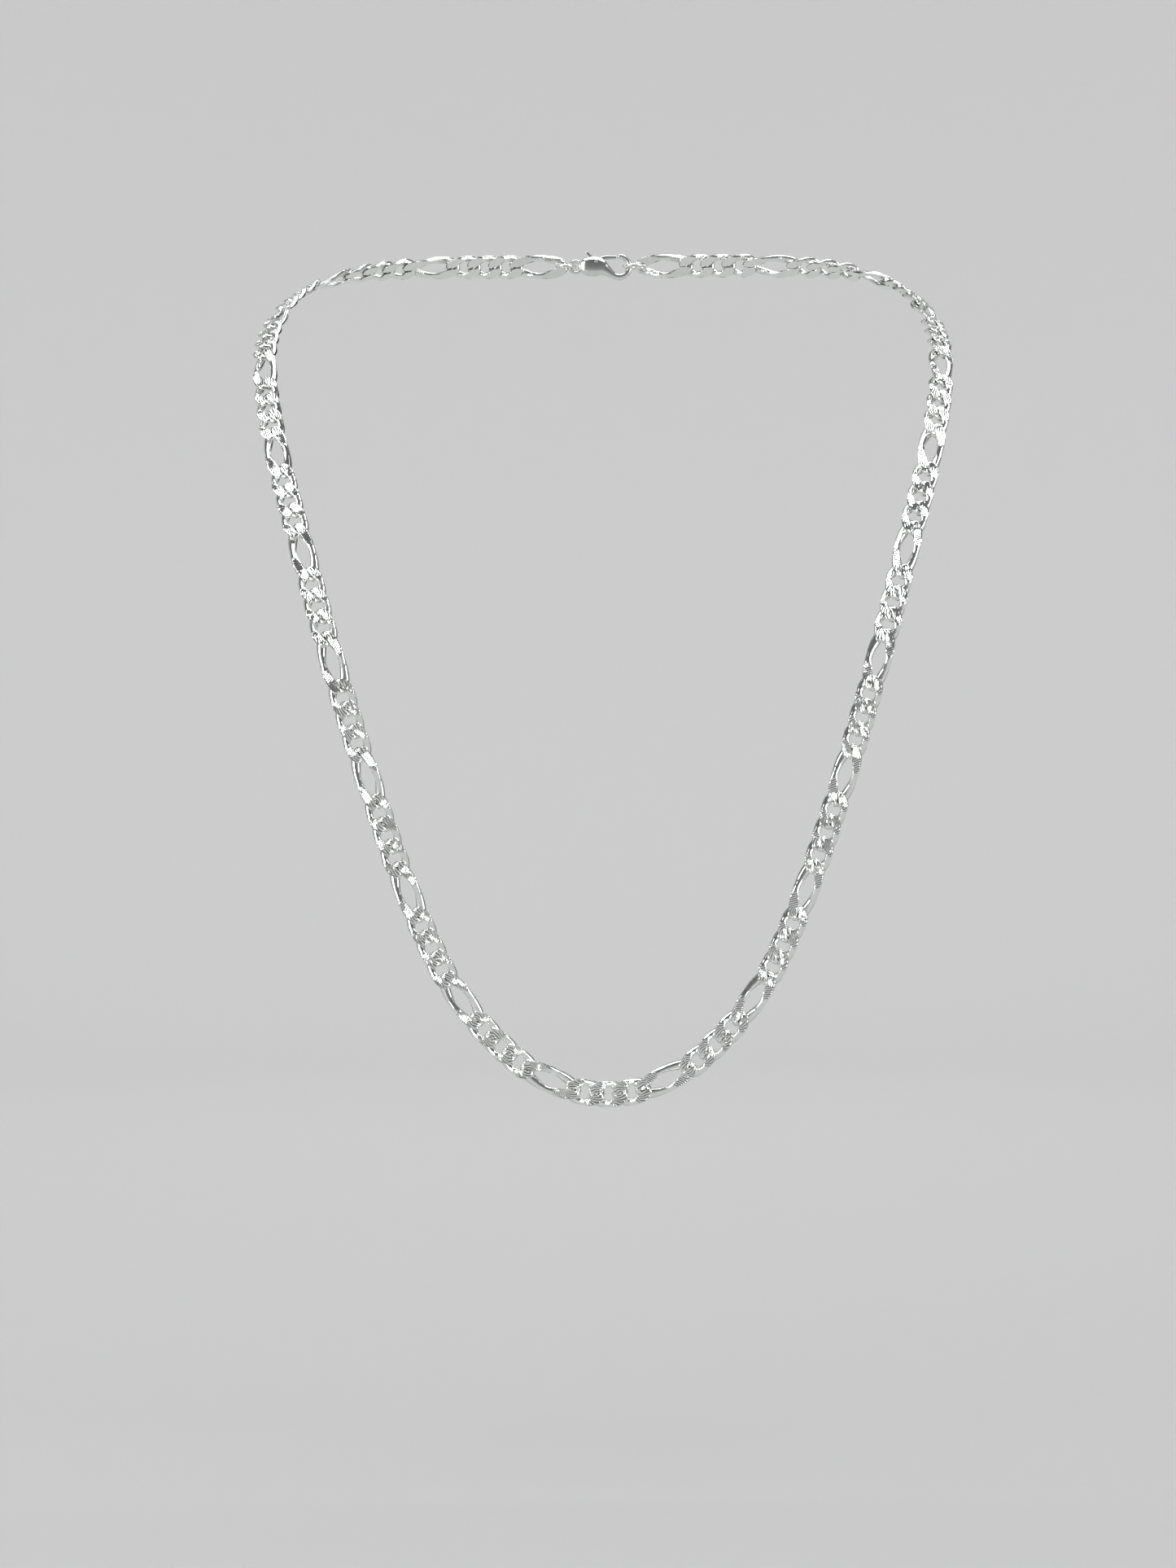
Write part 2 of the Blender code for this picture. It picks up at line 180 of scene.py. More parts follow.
def linear(hex_colour):
    """An sRGB hex colour as the linear values a shader needs."""
    parts = [int(hex_colour[i : i + 2], 16) / 255 for i in (1, 3, 5)]
    return (*(c / 12.92 if c <= 0.04045 else ((c + 0.055) / 1.055) ** 2.4 for c in parts), 1.0)


def add_node(tree, kind, feeds=None, **settings):
    """Add a node, set it up, and give its inputs a value, or a link from a socket or a node."""
    node = tree.nodes.new(kind)
    for name, value in settings.items():
        setattr(node, name, value)
    for key, value in (feeds or {}).items():
        if isinstance(key, int):
            socket = node.inputs[key]
        else:
            socket = next(s for s in node.inputs if s.enabled and s.name == key)
        if isinstance(value, bpy.types.Node):
            value = next(s for s in value.outputs if s.enabled)
        if isinstance(value, bpy.types.NodeSocket):
            tree.links.new(value, socket)
        else:
            socket.default_value = value
    return node


def new_material(name):
    """A material with nothing in it but its Principled shader."""
    material = bpy.data.materials.new(name)
    material.use_nodes = True
    return material, material.node_tree, material.node_tree.nodes["Principled BSDF"]


# Polished sterling silver: near-white and mirror-like on the ground faces, with crisp sparkling
# cuts near the joints, painted darker inside as painted shade, a slightly softer gloss on the
# rounded sides, and painted shade where one link passes under the next.
LINK_SILVER, tree, shader = new_material("polished_sterling_silver")
on_link = add_node(tree, "ShaderNodeAttribute", attribute_name="on_link")
ground = add_node(tree, "ShaderNodeAttribute", attribute_name="ground_face").outputs["Fac"]
bar_side = add_node(tree, "ShaderNodeAttribute", attribute_name="bar_side").outputs["Fac"]
parts = add_node(tree, "ShaderNodeSeparateXYZ", {"Vector": on_link.outputs["Vector"]})
raised = add_node(
    tree, "ShaderNodeMapRange",
    {"Value": parts.outputs["Z"], "From Min": 0.25, "From Max": 0.55},
    interpolation_type="SMOOTHSTEP",
)
near_end = add_node(
    tree, "ShaderNodeMapRange",
    {"Value": parts.outputs["X"], "From Min": CUTS_FADE[0], "From Max": CUTS_FADE[1]},
    interpolation_type="SMOOTHSTEP",
)
fan_place = add_node(
    tree, "ShaderNodeMapping",
    {"Vector": on_link.outputs["Vector"], "Location": (*FAN_CENTRE, 0), "Scale": (1, 1, 0)},
)
fan = add_node(tree, "ShaderNodeTexGradient", {"Vector": fan_place}, gradient_type="RADIAL")
fan_radius = add_node(tree, "ShaderNodeVectorMath", {0: fan_place}, operation="LENGTH")
fan_swirl = add_node(
    tree, "ShaderNodeMath", {0: fan_radius.outputs["Value"], 1: 0.45 / CUT_SPACING},
    operation="MULTIPLY",
)
place = add_node(tree, "ShaderNodeTexCoord").outputs["Object"]
hand = add_node(tree, "ShaderNodeTexNoise", {"Vector": place, "Scale": 600.0, "Detail": 1.0})
unsteady = add_node(
    tree, "ShaderNodeMath", {0: hand.outputs["Fac"], 1: 1.6, 2: fan_swirl},
    operation="MULTIPLY_ADD",
)
fan_count = add_node(
    tree, "ShaderNodeMath", {0: fan.outputs["Fac"], 1: FAN_CUTS, 2: unsteady},
    operation="MULTIPLY_ADD",
)
fan_cuts = add_node(tree, "ShaderNodeMath", {0: fan_count, 1: 0.5}, operation="PINGPONG")
fan_cuts = add_node(tree, "ShaderNodeMath", {0: fan_cuts, 1: 2.0}, operation="MULTIPLY")
turned = add_node(
    tree, "ShaderNodeMapping",
    {
        "Vector": on_link.outputs["Vector"], "Rotation": (0, 0, SLASH_TURN), "Scale": (1, 1, 0),
    },
)
slashes = add_node(
    tree, "ShaderNodeTexWave",
    {
        "Vector": turned, "Scale": WAVES_PER_UNIT / CUT_SPACING, "Distortion": 0.8,
        "Detail": 0.0, "Detail Scale": 0.6,
    },
    wave_type="BANDS", bands_direction="X", wave_profile="TRI",
)
past_lobe = add_node(
    tree, "ShaderNodeMapRange",
    {"Value": parts.outputs["X"], "From Min": LOBE_ENDS[0], "From Max": LOBE_ENDS[1]},
)
chosen = add_node(
    tree, "ShaderNodeMix",
    {0: past_lobe.outputs[0], 2: fan_cuts, 3: slashes.outputs["Fac"]}, data_type="FLOAT",
)
pressure = add_node(
    tree, "ShaderNodeMapRange",
    {
        "Value": hand.outputs["Fac"], "From Min": 0.35, "From Max": 0.6,
        "To Min": 0.3, "To Max": 1.0,
    },
)
where = add_node(tree, "ShaderNodeMath", {0: raised, 1: near_end}, operation="MULTIPLY")
where = add_node(tree, "ShaderNodeMath", {0: where, 1: ground}, operation="MULTIPLY")
where = add_node(tree, "ShaderNodeMath", {0: where, 1: pressure}, operation="MULTIPLY")
plain_rim = add_node(
    tree, "ShaderNodeMapRange", {"Value": bar_side, "From Min": 0.82, "From Max": 0.66}
)
where = add_node(tree, "ShaderNodeMath", {0: where, 1: plain_rim}, operation="MULTIPLY")
cuts = add_node(tree, "ShaderNodeMath", {0: chosen.outputs[0], 1: where}, operation="MULTIPLY")
cut_bump = add_node(
    tree, "ShaderNodeBump", {"Height": cuts, "Distance": CUT_DEPTH, "Strength": 1.0}, invert=True
)
hand_polish = add_node(
    tree, "ShaderNodeTexNoise", {"Vector": place, "Scale": 420.0, "Detail": 3.0}
)
soft_bump = add_node(
    tree, "ShaderNodeBump",
    {
        "Height": hand_polish.outputs["Fac"], "Distance": POLISH_DEPTH, "Strength": 0.35,
        "Normal": cut_bump.outputs["Normal"],
    },
)
# Painted shade in the cuts: where a cut is deepest its silver is coloured darker.
cut_shade = add_node(
    tree, "ShaderNodeMapRange", {"Value": cuts, "From Min": 0.55, "From Max": 1.0, "To Max": 0.75}
)
colour = add_node(
    tree, "ShaderNodeMix",
    {0: cut_shade.outputs[0], 6: linear(SILVER), 7: linear(SHADED_SILVER_IN_A_CUT)},
    data_type="RGBA",
)
# Painted shade: off the ground faces, the metal is coloured darker where its bar dips under the
# next link.
shade_where_low = add_node(
    tree, "ShaderNodeMapRange",
    {"Value": parts.outputs["Z"], "From Min": -0.15, "From Max": -0.7, "To Max": PAINTED_SHADE_AMOUNT},
    interpolation_type="SMOOTHSTEP",
)
not_ground = add_node(tree, "ShaderNodeMath", {0: 1.0, 1: ground}, operation="SUBTRACT")
painted_shade = add_node(tree, "ShaderNodeMath", {0: shade_where_low, 1: not_ground}, operation="MULTIPLY")
colour = add_node(
    tree, "ShaderNodeMix", {0: painted_shade, 6: colour.outputs[2], 7: linear(PAINTED_SHADE)},
    data_type="RGBA",
)
gloss = add_node(
    tree, "ShaderNodeMapRange", {"Value": ground, "To Min": SIDE_GLOSS, "To Max": FACE_GLOSS}
)
tree.links.new(colour.outputs[2], shader.inputs["Base Color"])
tree.links.new(gloss.outputs[0], shader.inputs["Roughness"])
tree.links.new(soft_bump.outputs["Normal"], shader.inputs["Normal"])
shader.inputs["Metallic"].default_value = 1.0


# ---------------------------------------------------------------------------------------------
# Links: closed loops of silver wire, soldered shut, twisted a quarter turn so that they lie flat
# when hooked, then ground. A long link and three short ones repeat. Nothing else holds them.
LINK_SIZES = {
    "Link Width": 5.5 * MM,
    "Bar Width": 1.45 * MM,
    "Bar Thickness": 0.96 * MM,
    "Short Pitch": SHORT_PITCH,
    "Long Pitch": LONG_PITCH,
    "Play": 0.5 * MM,
    "Twist Rise": 0.76 * MM,
    "Twist Sharpness": 0.7,
    "Side Fullness": 2.3,
    "Lobe Widening": 0.42,
    "Grinding": 0.55,
    "Flat Height": 0.82 * MM,
    "Points Round Link": 92,
    "Points Round Bar": 18,
}
BAR_FULLNESS = 0.82  # 1 is an ellipse
JUST_GROUND = 1e-7  # more than this taken off counts as ground
JUST_LEVEL = 1e-6  # within this of the flat height counts as ground
SHARP_EDGE = math.radians(24)


def build_link_tree():
    """Long and short links on a cloud of points, each turned as its point says."""
    tree = bpy.data.node_groups.new("flat_links", "GeometryNodeTree")
    tree.interface.new_socket("Geometry", in_out="INPUT", socket_type="NodeSocketGeometry")
    tree.interface.new_socket("Geometry", in_out="OUTPUT", socket_type="NodeSocketGeometry")
    for name, value in LINK_SIZES.items():
        kind = "NodeSocketInt" if isinstance(value, int) else "NodeSocketFloat"
        tree.interface.new_socket(name, in_out="INPUT", socket_type=kind)
    tree.interface.new_socket("Material", in_out="INPUT", socket_type="NodeSocketMaterial")
    given = add_node(tree, "NodeGroupInput").outputs

    # The wire's section, fuller than an ellipse. Each point's height above the middle and its
    # place to the side are kept for later.
    section_circle = add_node(
        tree, "GeometryNodeCurvePrimitiveCircle", {"Resolution": given["Points Round Bar"]}
    )
    round_bar = add_node(tree, "GeometryNodeInputPosition")
    round_bar = add_node(tree, "ShaderNodeSeparateXYZ", {"Vector": round_bar})
    grown = []
    for axis, size in (("X", "Bar Width"), ("Y", "Bar Thickness")):
        value = round_bar.outputs[axis]
        sign = add_node(tree, "ShaderNodeMath", {0: value}, operation="SIGN")
        full = add_node(tree, "ShaderNodeMath", {0: value}, operation="ABSOLUTE")
        full = add_node(tree, "ShaderNodeMath", {0: full, 1: BAR_FULLNESS}, operation="POWER")
        full = add_node(tree, "ShaderNodeMath", {0: full, 1: sign}, operation="MULTIPLY")
        full = add_node(tree, "ShaderNodeMath", {0: full, 1: given[size]}, operation="MULTIPLY")
        grown.append(add_node(tree, "ShaderNodeMath", {0: full, 1: 0.5}, operation="MULTIPLY"))
    section_place = add_node(tree, "ShaderNodeCombineXYZ", {"X": grown[0], "Y": grown[1]})
    section = add_node(
        tree, "GeometryNodeSetPosition", {"Geometry": section_circle, "Position": section_place}
    )
    section_spot = add_node(tree, "GeometryNodeInputPosition")
    section_spot = add_node(tree, "ShaderNodeSeparateXYZ", {"Vector": section_spot})
    keep_height = add_node(tree, "GeometryNodeCaptureAttribute", domain="POINT")
    keep_height.capture_items.new("FLOAT", "Height")
    keep_height.capture_items.new("FLOAT", "Side")
    tree.links.new(section.outputs["Geometry"], keep_height.inputs["Geometry"])
    tree.links.new(section_spot.outputs["Y"], keep_height.inputs["Height"])
    tree.links.new(section_spot.outputs["X"], keep_height.inputs["Side"])

    joined = add_node(tree, "GeometryNodeJoinGeometry")
    is_long = add_node(
        tree, "GeometryNodeInputNamedAttribute", {"Name": "long"}, data_type="BOOLEAN"
    )
    turn = add_node(
        tree, "GeometryNodeInputNamedAttribute", {"Name": "turn"}, data_type="QUATERNION"
    )
    for pitch_name in ("Short Pitch", "Long Pitch"):
        # The loop: a rounded oblong whose bars rise to one side of each end and dip to the other.
        circle = add_node(
            tree, "GeometryNodeCurvePrimitiveCircle", {"Resolution": given["Points Round Link"]}
        )
        factor = add_node(tree, "GeometryNodeSplineParameter")
        angle = add_node(
            tree, "ShaderNodeMath", {0: factor.outputs["Factor"], 1: 2 * math.pi},
            operation="MULTIPLY",
        )
        double = add_node(tree, "ShaderNodeMath", {0: angle, 1: 2.0}, operation="MULTIPLY")
        power = add_node(
            tree, "ShaderNodeMath", {0: 2.0, 1: given["Side Fullness"]}, operation="DIVIDE"
        )
        shaped = []
        for source, wave, exponent in (
            (angle, "COSINE", power), (angle, "SINE", power),
            (double, "SINE", given["Twist Sharpness"]),
        ):
            value = add_node(tree, "ShaderNodeMath", {0: source}, operation=wave)
            sign = add_node(tree, "ShaderNodeMath", {0: value}, operation="SIGN")
            size = add_node(tree, "ShaderNodeMath", {0: value}, operation="ABSOLUTE")
            size = add_node(tree, "ShaderNodeMath", {0: size, 1: exponent}, operation="POWER")
            size = add_node(tree, "ShaderNodeMath", {0: size, 1: sign}, operation="MULTIPLY")
            shaped.append(size)
        length = add_node(
            tree, "ShaderNodeMath", {0: given[pitch_name], 1: given["Bar Width"]}, operation="ADD"
        )
        length = add_node(tree, "ShaderNodeMath", {0: length, 1: given["Play"]}, operation="ADD")
        half_length = add_node(tree, "ShaderNodeMath", {0: length, 1: 0.5}, operation="MULTIPLY")
        width = add_node(
            tree, "ShaderNodeMath", {0: given["Link Width"], 1: given["Bar Width"]},
            operation="SUBTRACT",
        )
        half_width = add_node(tree, "ShaderNodeMath", {0: width, 1: 0.5}, operation="MULTIPLY")
        along = add_node(
            tree, "ShaderNodeMath", {0: shaped[0], 1: half_length}, operation="MULTIPLY"
        )
        across = add_node(
            tree, "ShaderNodeMath", {0: shaped[1], 1: half_width}, operation="MULTIPLY"
        )
        lift = add_node(tree, "ShaderNodeMath", {0: shaped[2], 1: -1.0}, operation="MULTIPLY")
        rise = add_node(
            tree, "ShaderNodeMath", {0: lift, 1: given["Twist Rise"]}, operation="MULTIPLY"
        )
        loop_place = add_node(tree, "ShaderNodeCombineXYZ", {"X": along, "Y": across, "Z": rise})
        keep_lift = add_node(tree, "GeometryNodeCaptureAttribute", domain="POINT")
        keep_lift.capture_items.new("FLOAT", "Lift")
        keep_lift.capture_items.new("VECTOR", "Middle")
        keep_lift.capture_items.new("VECTOR", "Outward")
        outward = [
            add_node(tree, "ShaderNodeMath", {0: shaped[0], 1: half_length}, operation="DIVIDE"),
            add_node(tree, "ShaderNodeMath", {0: shaped[1], 1: half_width}, operation="DIVIDE"),
        ]
        outward = add_node(tree, "ShaderNodeCombineXYZ", {"X": outward[0], "Y": outward[1]})
        outward = add_node(tree, "ShaderNodeVectorMath", {0: outward}, operation="NORMALIZE")
        tree.links.new(circle.outputs["Curve"], keep_lift.inputs["Geometry"])
        tree.links.new(lift.outputs[0], keep_lift.inputs["Lift"])
        tree.links.new(loop_place.outputs[0], keep_lift.inputs["Middle"])
        tree.links.new(outward.outputs[0], keep_lift.inputs["Outward"])
        loop = add_node(
            tree, "GeometryNodeSetPosition",
            {"Geometry": keep_lift.outputs["Geometry"], "Position": loop_place},
        )
        loop = add_node(tree, "GeometryNodeSetCurveNormal", {"Curve": loop}, mode="Z_UP")
        bar = add_node(
            tree, "GeometryNodeCurveToMesh",
            {"Curve": loop, "Profile Curve": keep_height.outputs["Geometry"]},
        )

        # Hammering: where the bar is raised it spreads inwards, so that two lobes meet.
        spot = add_node(tree, "GeometryNodeInputPosition")
        spot = add_node(
            tree, "ShaderNodeVectorMath", {0: spot, 1: keep_lift.outputs["Middle"]},
            operation="SUBTRACT",
        )
        spot = add_node(
            tree, "ShaderNodeVectorMath", {0: spot, 1: keep_lift.outputs["Outward"]},
            operation="DOT_PRODUCT",
        )
        edge = add_node(
            tree, "ShaderNodeMath", {0: given["Bar Width"], 1: 0.5}, operation="MULTIPLY"
        )
        spread = add_node(
            tree, "ShaderNodeMath", {0: spot.outputs["Value"], 1: edge}, operation="SUBTRACT"
        )
        spread = add_node(
            tree, "ShaderNodeMath", {0: spread, 1: given["Lobe Widening"]}, operation="MULTIPLY"
        )
        size = add_node(
            tree, "ShaderNodeMath", {0: keep_lift.outputs["Lift"], 1: 2.0}, operation="POWER"
        )
        spread = add_node(tree, "ShaderNodeMath", {0: spread, 1: size}, operation="MULTIPLY")
        spread = add_node(
            tree, "ShaderNodeVectorMath",
            {0: keep_lift.outputs["Outward"], "Scale": spread}, operation="SCALE",
        )
        bar = add_node(tree, "GeometryNodeSetPosition", {"Geometry": bar, "Offset": spread})

        # Grinding: each face is cut down most where the bar is raised towards it, and the whole
        # link is cut off level at the flat height.
        half_bar = add_node(
            tree, "ShaderNodeMath", {0: given["Bar Thickness"], 1: 0.5}, operation="MULTIPLY"
        )
        limits = []
        for share in (0.5, -0.5):
            raised = add_node(
                tree, "ShaderNodeMath", {0: keep_lift.outputs["Lift"], 1: share, 2: 0.5},
                operation="MULTIPLY_ADD",
            )
            lost = add_node(
                tree, "ShaderNodeMath", {0: raised, 1: given["Grinding"]}, operation="MULTIPLY"
            )
            left = add_node(tree, "ShaderNodeMath", {0: 1.0, 1: lost}, operation="SUBTRACT")
            left = add_node(tree, "ShaderNodeMath", {0: left, 1: half_bar}, operation="MULTIPLY")
            limits.append(left)
        height = keep_height.outputs["Height"]
        lowest = add_node(tree, "ShaderNodeMath", {0: limits[1], 1: -1.0}, operation="MULTIPLY")
        cut = add_node(tree, "ShaderNodeMath", {0: height, 1: limits[0]}, operation="MINIMUM")
        cut = add_node(tree, "ShaderNodeMath", {0: cut, 1: lowest}, operation="MAXIMUM")
        removed = add_node(tree, "ShaderNodeMath", {0: cut, 1: height}, operation="SUBTRACT")
        drop = add_node(tree, "ShaderNodeCombineXYZ", {"Z": removed})
        is_ground = add_node(tree, "ShaderNodeMath", {0: removed}, operation="ABSOLUTE")
        is_ground = add_node(
            tree, "ShaderNodeMath", {0: is_ground, 1: JUST_GROUND}, operation="GREATER_THAN"
        )
        ground_bar = add_node(tree, "GeometryNodeSetPosition", {"Geometry": bar, "Offset": drop})
        spot = add_node(tree, "GeometryNodeInputPosition")
        spot = add_node(tree, "ShaderNodeSeparateXYZ", {"Vector": spot})
        top = given["Flat Height"]
        bottom = add_node(tree, "ShaderNodeMath", {0: top, 1: -1.0}, operation="MULTIPLY")
        level = add_node(
            tree, "ShaderNodeMath", {0: spot.outputs["Z"], 1: top}, operation="MINIMUM"
        )
        level = add_node(tree, "ShaderNodeMath", {0: level, 1: bottom}, operation="MAXIMUM")
        level = add_node(
            tree, "ShaderNodeCombineXYZ",
            {"X": spot.outputs["X"], "Y": spot.outputs["Y"], "Z": level},
        )
        flat = add_node(
            tree, "GeometryNodeSetPosition", {"Geometry": ground_bar, "Position": level}
        )
        high = add_node(tree, "ShaderNodeMath", {0: spot.outputs["Z"]}, operation="ABSOLUTE")
        nearly = add_node(tree, "ShaderNodeMath", {0: top, 1: JUST_LEVEL}, operation="SUBTRACT")
        is_level = add_node(
            tree, "ShaderNodeMath", {0: high, 1: nearly}, operation="GREATER_THAN"
        )
        is_ground = add_node(
            tree, "ShaderNodeMath", {0: is_ground, 1: is_level}, operation="MAXIMUM"
        )
        flat = add_node(
            tree, "GeometryNodeStoreNamedAttribute",
            {"Geometry": flat, "Name": "ground_face", "Value": is_ground},
            data_type="FLOAT", domain="POINT",
        )

        # Where a point is on its link: how far from the tip, how far across, how far raised. Both
        # ends count from their own tip, as they are the same shape turned half round.
        spot = add_node(tree, "GeometryNodeInputPosition")
        spot = add_node(tree, "ShaderNodeSeparateXYZ", {"Vector": spot})
        end = add_node(tree, "ShaderNodeMath", {0: spot.outputs["X"]}, operation="SIGN")
        from_tip = add_node(tree, "ShaderNodeMath", {0: spot.outputs["X"]}, operation="ABSOLUTE")
        from_tip = add_node(
            tree, "ShaderNodeMath", {0: half_length, 1: from_tip}, operation="SUBTRACT"
        )
        across = add_node(
            tree, "ShaderNodeMath", {0: spot.outputs["Y"], 1: end}, operation="MULTIPLY"
        )
        on_link = add_node(
            tree, "ShaderNodeCombineXYZ",
            {"X": from_tip, "Y": across, "Z": keep_lift.outputs["Lift"]},
        )
        placed = add_node(
            tree, "GeometryNodeStoreNamedAttribute",
            {"Geometry": flat, "Name": "on_link", "Value": on_link},
            data_type="FLOAT_VECTOR", domain="POINT",
        )
        side = add_node(
            tree, "ShaderNodeMath", {0: keep_height.outputs["Side"]}, operation="ABSOLUTE"
        )
        side = add_node(tree, "ShaderNodeMath", {0: side, 1: edge}, operation="DIVIDE")
        placed = add_node(
            tree, "GeometryNodeStoreNamedAttribute",
            {"Geometry": placed, "Name": "bar_side", "Value": side},
            data_type="FLOAT", domain="POINT",
        )
        sharp = add_node(tree, "GeometryNodeInputMeshEdgeAngle")
        sharp = add_node(
            tree, "FunctionNodeCompare", {0: sharp.outputs[0], 1: SHARP_EDGE},
            data_type="FLOAT", operation="GREATER_THAN",
        )
        creased = add_node(
            tree, "GeometryNodeSetShadeSmooth",
            {"Geometry": placed, "Selection": sharp, "Shade Smooth": False}, domain="EDGE",
        )
        chosen = is_long.outputs[0]
        if pitch_name == "Short Pitch":
            chosen = add_node(tree, "FunctionNodeBooleanMath", {0: chosen}, operation="NOT")
        hung = add_node(
            tree, "GeometryNodeInstanceOnPoints",
            {
                "Points": given["Geometry"], "Selection": chosen, "Instance": creased,
                "Rotation": turn,
            },
        )
        tree.links.new(hung.outputs[0], joined.inputs[0])
    real = add_node(tree, "GeometryNodeRealizeInstances", {0: joined})
    done = add_node(
        tree, "GeometryNodeSetMaterial", {"Geometry": real, "Material": given["Material"]}
    )
    add_node(tree, "NodeGroupOutput", {0: done})
    return tree


LINK_TREE = build_link_tree()


def shape_with(tree, name, start_mesh, sizes, material):
    """Run a tree on a mesh and keep what it makes as a plain mesh object."""
    maker = bpy.data.objects.new(f"{name}_maker", start_mesh)
    bpy.context.scene.collection.objects.link(maker)
    modifier = maker.modifiers.new("maker", "NODES")
    modifier.node_group = tree
    sockets = [item for item in tree.interface.items_tree if item.in_out == "INPUT"]
    inputs = {socket.name: socket.identifier for socket in sockets}
    for size_name, value in sizes.items():
        modifier[inputs[size_name]] = value
    modifier[inputs["Material"]] = material
    bpy.context.view_layer.update()
    graph = bpy.context.evaluated_depsgraph_get()
    made = bpy.data.meshes.new_from_object(maker.evaluated_get(graph))
    bpy.data.objects.remove(maker, do_unlink=True)
    piece = bpy.data.objects.new(name, made)
    bpy.context.scene.collection.objects.link(piece)
    return piece


def link_turn(start, end, facing):
    """A link lies from one joint to the next, with its ground face turned outwards."""
    along = (end - start).normalized()
    face = (facing - along * facing.dot(along)).normalized()
    return Matrix((along, face.cross(along), face)).transposed().to_quaternion()


def links_of(node):
    """The links that one CAD node stands for, as pairs of joints, and whether it is a long one."""
    if node == "short_trio_center":
        joints = [LEFT_JOINTS[1], LEFT_JOINTS[0], RIGHT_JOINTS[0], RIGHT_JOINTS[1]]
        return list(zip(joints, joints[1:])), False
    kind, _, side, number = node.split("_")
    first = 1 + 4 * (int(number) - 1)
    joints = RIGHT_JOINTS if side == "right" else LEFT_JOINTS
    joints = joints[first : first + 2] if kind == "long" else joints[first + 1 : first + 5]
    joints = joints if side == "right" else joints[::-1]
    return list(zip(joints, joints[1:])), kind == "long"


def hang_links(body, nodes):
    """Make every link that moves with one body."""
    places, turns, longs = [], [], []
    for node in nodes:
        pairs, is_long = links_of(node)
        for (start, start_facing), (end, end_facing) in pairs:
            places.append((start + end) / 2)
            turns.append(link_turn(start, end, start_facing + end_facing))
            longs.append(is_long)
    points = bpy.data.meshes.new(f"{body}_joints")
    points.from_pydata(places, [], [])
    points.attributes.new("turn", "QUATERNION", "POINT")
    points.attributes.new("long", "BOOLEAN", "POINT")
    for i, (quaternion, is_long) in enumerate(zip(turns, longs)):
        points.attributes["turn"].data[i].value = quaternion
        points.attributes["long"].data[i].value = is_long
    piece = shape_with(LINK_TREE, f"{body}_links", points, LINK_SIZES, LINK_SILVER)
    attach(piece, body)
    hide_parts(*nodes)


for body, members in frame["record"]["behaviour"]["bodies"].items():
    link_nodes = [name for name in members if name.startswith(("long_link", "short_trio"))]
    if link_nodes:
        hang_links(body, link_nodes)


# ---------------------------------------------------------------------------------------------
# Rings: round silver wire. The ring between the chain and the clasp is a cut ring, pressed shut,
# so a hairline shows where its ends meet. The ring at the other end is soldered shut.
RING_REACH = 0.5 * MM
CUT_RING = {"Outer": 5.0 * MM, "Wire": 0.8 * MM, "Cut": 0.05 * MM}
SOLDERED_RING = {"Outer": 6.0 * MM, "Wire": 0.8 * MM, "Cut": 0.0}
CUT_TURN = math.radians(-62)  # where round the ring its ends meet
LAST_JOINT = RIGHT_JOINTS[-1][0].x
BRIGHT_SILVER = "#eef0ee"
WORN_SILVER = "#dfe1df"
CLASP_FRAME = Matrix.Translation((0, CLASP_THICKNESS / 2, 0)) @ Matrix(
    ((1, 0, 0), (0, 0, -1), (0, 1, 0))
).to_4x4()  # x to the nose, y to the lever's side, z to the wearer's neck

# Tumbled sterling silver: small soft dents and fine hairlines from the barrel break up its shine.
TUMBLED_SILVER, tree, shader = new_material("tumbled_sterling_silver")
place = add_node(tree, "ShaderNodeTexCoord").outputs["Object"]
dents = add_node(tree, "ShaderNodeTexNoise", {"Vector": place, "Scale": 900.0, "Detail": 2.0})
hairline_place = add_node(
    tree, "ShaderNodeMapping",
    {"Vector": place, "Scale": (300, 300, 3200), "Rotation": (0.3, 0.5, 0)},
)
hairlines = add_node(tree, "ShaderNodeTexNoise", {"Vector": hairline_place, "Scale": 1.0})
dent_bump = add_node(
    tree, "ShaderNodeBump",
    {"Height": dents.outputs["Fac"], "Distance": 0.03 * MM, "Strength": 0.3},
)
hairline_bump = add_node(
    tree, "ShaderNodeBump",
    {
        "Height": hairlines.outputs["Fac"], "Distance": 0.01 * MM, "Strength": 0.35,
        "Normal": dent_bump.outputs["Normal"],
    },
)
wear = add_node(tree, "ShaderNodeTexNoise", {"Vector": place, "Scale": 350.0, "Detail": 2.0})
gloss = add_node(
    tree, "ShaderNodeMapRange",
    {
        "Value": wear.outputs["Fac"], "From Min": 0.3, "From Max": 0.7,
        "To Min": 0.12, "To Max": 0.24,
    },
)
colour = add_node(
    tree, "ShaderNodeMix",
    {0: wear.outputs["Fac"], 6: linear(BRIGHT_SILVER), 7: linear(WORN_SILVER)}, data_type="RGBA",
)
tree.links.new(colour.outputs[2], shader.inputs["Base Color"])
tree.links.new(gloss.outputs[0], shader.inputs["Roughness"])
tree.links.new(hairline_bump.outputs["Normal"], shader.inputs["Normal"])
shader.inputs["Metallic"].default_value = 1.0


